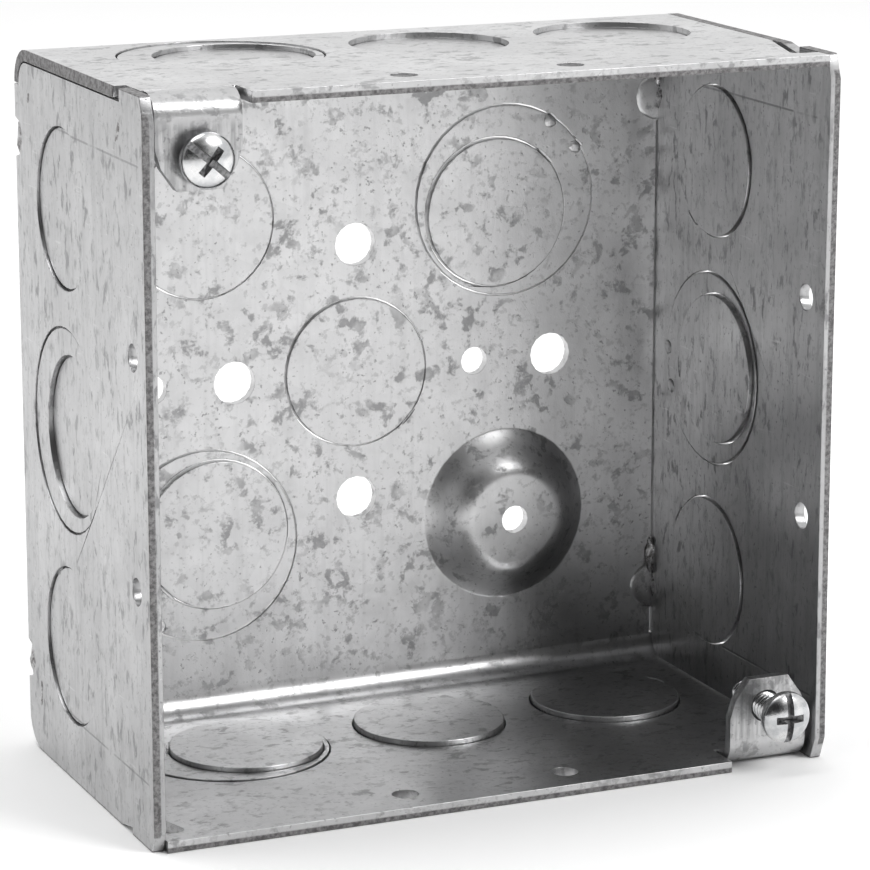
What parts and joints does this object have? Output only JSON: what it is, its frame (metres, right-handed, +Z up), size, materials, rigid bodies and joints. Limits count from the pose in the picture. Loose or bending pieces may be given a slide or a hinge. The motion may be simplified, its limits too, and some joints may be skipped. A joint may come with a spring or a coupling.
{
  "type": "electrical junction box",
  "caption": "Square welded steel wiring box, open at the front, with round pry-out discs in its walls, cover-screw ears at opposite corners and a raised grounding boss.",
  "frame": {"origin": "middle of the whole object's footprint, on the plane that the bottom wall stands on", "axes": "+X to the right seen from the opening, +Y from the opening to the back wall, +Z up"},
  "size_m": [0.1016, 0.0597, 0.1016],
  "materials": {
    "wrapper_steel": "mottled hot-dip zinc",
    "plate_steel": "mottled hot-dip zinc",
    "disc_steel": "mottled hot-dip zinc",
    "screw_zinc": "bright zinc plate"
  },
  "bodies": {
    "box": {"box_wrapper": "wrapper_steel", "left_side_plate": "plate_steel", "right_side_plate": "plate_steel"},
    "knockout_back_center": {"knockout_back_center": "disc_steel"},
    "knockout_back_upper_left": {"knockout_back_upper_left": "disc_steel"},
    "knockout_top_middle": {"knockout_top_middle": "disc_steel"},
    "knockout_top_right": {"knockout_top_right": "disc_steel"},
    "knockout_bottom_middle": {"knockout_bottom_middle": "disc_steel"},
    "knockout_bottom_right": {"knockout_bottom_right": "disc_steel"},
    "knockout_left_upper": {"knockout_left_upper": "disc_steel"},
    "knockout_left_lower": {"knockout_left_lower": "disc_steel"},
    "knockout_right_upper": {"knockout_right_upper": "disc_steel"},
    "knockout_right_lower": {"knockout_right_lower": "disc_steel"},
    "knockout_back_upper_right_ring": {"knockout_back_upper_right_ring": "disc_steel"},
    "knockout_back_upper_right_disc": {"knockout_back_upper_right_disc": "disc_steel"},
    "knockout_back_lower_left_ring": {"knockout_back_lower_left_ring": "disc_steel"},
    "knockout_back_lower_left_disc": {"knockout_back_lower_left_disc": "disc_steel"},
    "knockout_top_left_ring": {"knockout_top_left_ring": "disc_steel"},
    "knockout_top_left_disc": {"knockout_top_left_disc": "disc_steel"},
    "knockout_bottom_left_ring": {"knockout_bottom_left_ring": "disc_steel"},
    "knockout_bottom_left_disc": {"knockout_bottom_left_disc": "disc_steel"},
    "knockout_left_middle_ring": {"knockout_left_middle_ring": "disc_steel"},
    "knockout_left_middle_disc": {"knockout_left_middle_disc": "disc_steel"},
    "knockout_right_middle_ring": {"knockout_right_middle_ring": "disc_steel"},
    "knockout_right_middle_disc": {"knockout_right_middle_disc": "disc_steel"},
    "cover_screw_upper": {"cover_screw_upper": "screw_zinc"},
    "cover_screw_lower": {"cover_screw_lower": "screw_zinc"}
  },
  "joints": [
    {"name": "knockout_back_center_tie", "type": "hinge", "parent": "box", "child": "knockout_back_center", "pos_m": [0.00821, 0.02795, 0.04341], "axis": [0.6691, 0, 0.7431], "range_deg": [0, 35]},
    {"name": "knockout_back_upper_left_tie", "type": "hinge", "parent": "box", "child": "knockout_back_upper_left", "pos_m": [-0.03438, 0.02795, 0.07858], "axis": [-0.342, 0, -0.9397], "range_deg": [0, 35]},
    {"name": "knockout_top_middle_tie", "type": "hinge", "parent": "box", "child": "knockout_top_middle", "pos_m": [-0.00678, 0.00577, 0.0992], "axis": [-0.342, 0.9397, 0], "range_deg": [0, 35]},
    {"name": "knockout_top_right_tie", "type": "hinge", "parent": "box", "child": "knockout_top_right", "pos_m": [0.04258, 0.00577, 0.0992], "axis": [-0.342, -0.9397, 0], "range_deg": [0, 35]},
    {"name": "knockout_bottom_middle_tie", "type": "hinge", "parent": "box", "child": "knockout_bottom_middle", "pos_m": [0.01398, 0.01333, 0.0024], "axis": [-0.342, 0.9397, 0], "range_deg": [0, 35]},
    {"name": "knockout_bottom_right_tie", "type": "hinge", "parent": "box", "child": "knockout_bottom_right", "pos_m": [0.04258, 0.01333, 0.0024], "axis": [-0.342, 0.9397, 0], "range_deg": [0, 35]},
    {"name": "knockout_left_upper_tie", "type": "hinge", "parent": "box", "child": "knockout_left_upper", "pos_m": [-0.0488, 0.0186, 0.07546], "axis": [0, 0.5736, 0.8192], "range_deg": [0, 35]},
    {"name": "knockout_left_lower_tie", "type": "hinge", "parent": "box", "child": "knockout_left_lower", "pos_m": [-0.0488, 0.01557, 0.02907], "axis": [0, -0.8387, 0.5446], "range_deg": [0, 35]},
    {"name": "knockout_right_upper_tie", "type": "hinge", "parent": "box", "child": "knockout_right_upper", "pos_m": [0.0488, 0.01557, 0.07253], "axis": [0, -0.8387, -0.5446], "range_deg": [0, 35]},
    {"name": "knockout_right_lower_tie", "type": "hinge", "parent": "box", "child": "knockout_right_lower", "pos_m": [0.0488, 0.0186, 0.02614], "axis": [0, 0.5736, -0.8192], "range_deg": [0, 35]},
    {"name": "knockout_back_upper_right_ring_tie", "type": "hinge", "parent": "box", "child": "knockout_back_upper_right_ring", "pos_m": [0.03408, 0.02805, 0.08488], "axis": [-0.7071, 0, 0.7071], "range_deg": [0, 25]},
    {"name": "knockout_back_upper_right_disc_tie", "type": "hinge", "parent": "knockout_back_upper_right_ring", "child": "knockout_back_upper_right_disc", "pos_m": [0.03019, 0.02735, 0.08099], "axis": [-0.7071, 0, 0.7071], "range_deg": [0, 30]},
    {"name": "knockout_back_lower_left_ring_tie", "type": "hinge", "parent": "box", "child": "knockout_back_lower_left_ring", "pos_m": [-0.03408, 0.02805, 0.01672], "axis": [0.7071, 0, -0.7071], "range_deg": [0, 25]},
    {"name": "knockout_back_lower_left_disc_tie", "type": "hinge", "parent": "knockout_back_lower_left_ring", "child": "knockout_back_lower_left_disc", "pos_m": [-0.03019, 0.02735, 0.02061], "axis": [0.7071, 0, -0.7071], "range_deg": [0, 30]},
    {"name": "knockout_top_left_ring_tie", "type": "hinge", "parent": "box", "child": "knockout_top_left_ring", "pos_m": [-0.04089, 0.00468, 0.0998], "axis": [-0.342, 0.9397, 0], "range_deg": [0, 25]},
    {"name": "knockout_top_left_disc_tie", "type": "hinge", "parent": "knockout_top_left_ring", "child": "knockout_top_left_disc", "pos_m": [-0.03572, 0.00656, 0.0991], "axis": [-0.342, 0.9397, 0], "range_deg": [0, 30]},
    {"name": "knockout_bottom_left_ring_tie", "type": "hinge", "parent": "box", "child": "knockout_bottom_left_ring", "pos_m": [-0.04089, 0.01442, 0.0018], "axis": [-0.342, -0.9397, 0], "range_deg": [0, 25]},
    {"name": "knockout_bottom_left_disc_tie", "type": "hinge", "parent": "knockout_bottom_left_ring", "child": "knockout_bottom_left_disc", "pos_m": [-0.03572, 0.01254, 0.0025], "axis": [-0.342, -0.9397, 0], "range_deg": [0, 30]},
    {"name": "knockout_left_middle_ring_tie", "type": "hinge", "parent": "box", "child": "knockout_left_middle_ring", "pos_m": [-0.049, 0.02358, 0.05327], "axis": [0, -0.1736, 0.9848], "range_deg": [0, 25]},
    {"name": "knockout_left_middle_disc_tie", "type": "hinge", "parent": "knockout_left_middle_ring", "child": "knockout_left_middle_disc", "pos_m": [-0.0483, 0.01817, 0.05232], "axis": [0, -0.1736, 0.9848], "range_deg": [0, 30]},
    {"name": "knockout_right_middle_ring_tie", "type": "hinge", "parent": "box", "child": "knockout_right_middle_ring", "pos_m": [0.049, 0.02358, 0.04833], "axis": [0, -0.1736, -0.9848], "range_deg": [0, 25]},
    {"name": "knockout_right_middle_disc_tie", "type": "hinge", "parent": "knockout_right_middle_ring", "child": "knockout_right_middle_disc", "pos_m": [0.0483, 0.01817, 0.04928], "axis": [0, -0.1736, -0.9848], "range_deg": [0, 30]},
    {"name": "cover_screw_upper_thread", "type": "slide", "parent": "box", "child": "cover_screw_upper", "axis": [0, 1, 0], "range_m": [-0.009, 0.0013]},
    {"name": "cover_screw_lower_thread", "type": "slide", "parent": "box", "child": "cover_screw_lower", "axis": [0, 1, 0], "range_m": [-0.005, 0.0051]}
  ]
}
